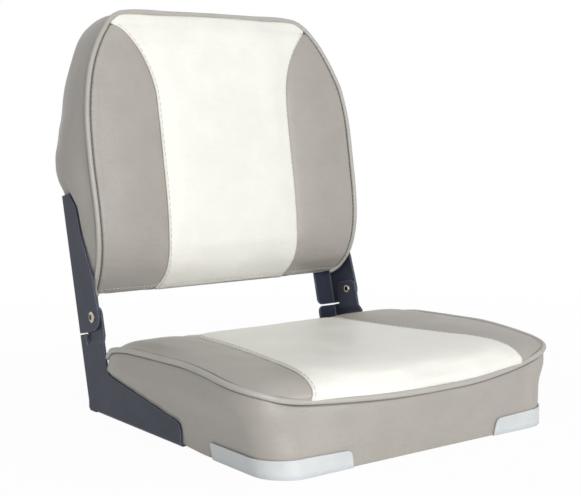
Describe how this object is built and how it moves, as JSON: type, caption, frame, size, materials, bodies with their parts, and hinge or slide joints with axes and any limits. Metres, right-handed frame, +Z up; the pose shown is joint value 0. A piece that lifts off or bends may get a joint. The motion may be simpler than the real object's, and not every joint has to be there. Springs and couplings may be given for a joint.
{
  "type": "folding boat seat",
  "caption": "Low-back folding boat seat: upholstered foam seat and backrest with piped edges, joined by folding sheet metal hinge brackets; fastened by threaded inserts underneath.",
  "frame": {"origin": "centre of the four mounting inserts, on the flat underside", "axes": "+Z up, -Y to the front of the seat, +X to the right as seen from in front"},
  "size_m": [0.436, 0.5093, 0.4795],
  "materials": {
    "bracket_paint": "satin powder coat",
    "grey_vinyl": "fine grain, satin",
    "white_vinyl": "fine grain, satin",
    "piping_vinyl": "satin",
    "piping_core": "matt",
    "foam": "open cell foam",
    "pan_plastic": "moulded, fine texture",
    "board_plastic": "moulded, fine texture",
    "protector": "milky clear",
    "rivet_metal": "nickel plated",
    "screw_metal": "satin stainless",
    "insert_metal": "turned",
    "washer_nylon": "natural nylon"
  },
  "bodies": {
    "seat": {"seat_pan": "pan_plastic", "seat_mount_inserts": "insert_metal", "seat_foam": "foam", "seat_cover_centre": "white_vinyl", "seat_cover_side_left": "grey_vinyl", "seat_cover_side_right": "grey_vinyl", "seat_cover_boxing": "grey_vinyl", "seat_piping": "piping_vinyl", "seat_piping_cord": "piping_core", "seat_staples": "screw_metal", "corner_protector_left": "protector", "corner_protector_right": "protector", "lower_bracket_left": "bracket_paint", "lower_bracket_right": "bracket_paint", "lower_bracket_screws": "screw_metal", "pivot_rivet_left": "rivet_metal", "pivot_rivet_right": "rivet_metal", "pivot_washer_left": "washer_nylon", "pivot_washer_right": "washer_nylon"},
    "backrest": {"upper_bracket_left": "bracket_paint", "upper_bracket_right": "bracket_paint", "upper_bracket_screws": "screw_metal", "back_board": "board_plastic", "back_board_inserts": "insert_metal", "back_foam": "foam", "back_cover_centre": "white_vinyl", "back_cover_side_left": "grey_vinyl", "back_cover_side_right": "grey_vinyl", "back_cover_boxing": "grey_vinyl", "back_cover_rear": "grey_vinyl", "back_piping": "piping_vinyl", "back_piping_cord": "piping_core"}
  },
  "joints": [
    {"name": "backrest_fold", "type": "hinge", "parent": "seat", "child": "backrest", "pos_m": [0, 0.17673, 0.11316], "axis": [1, 0, 0], "range_deg": [0, 91]}
  ]
}
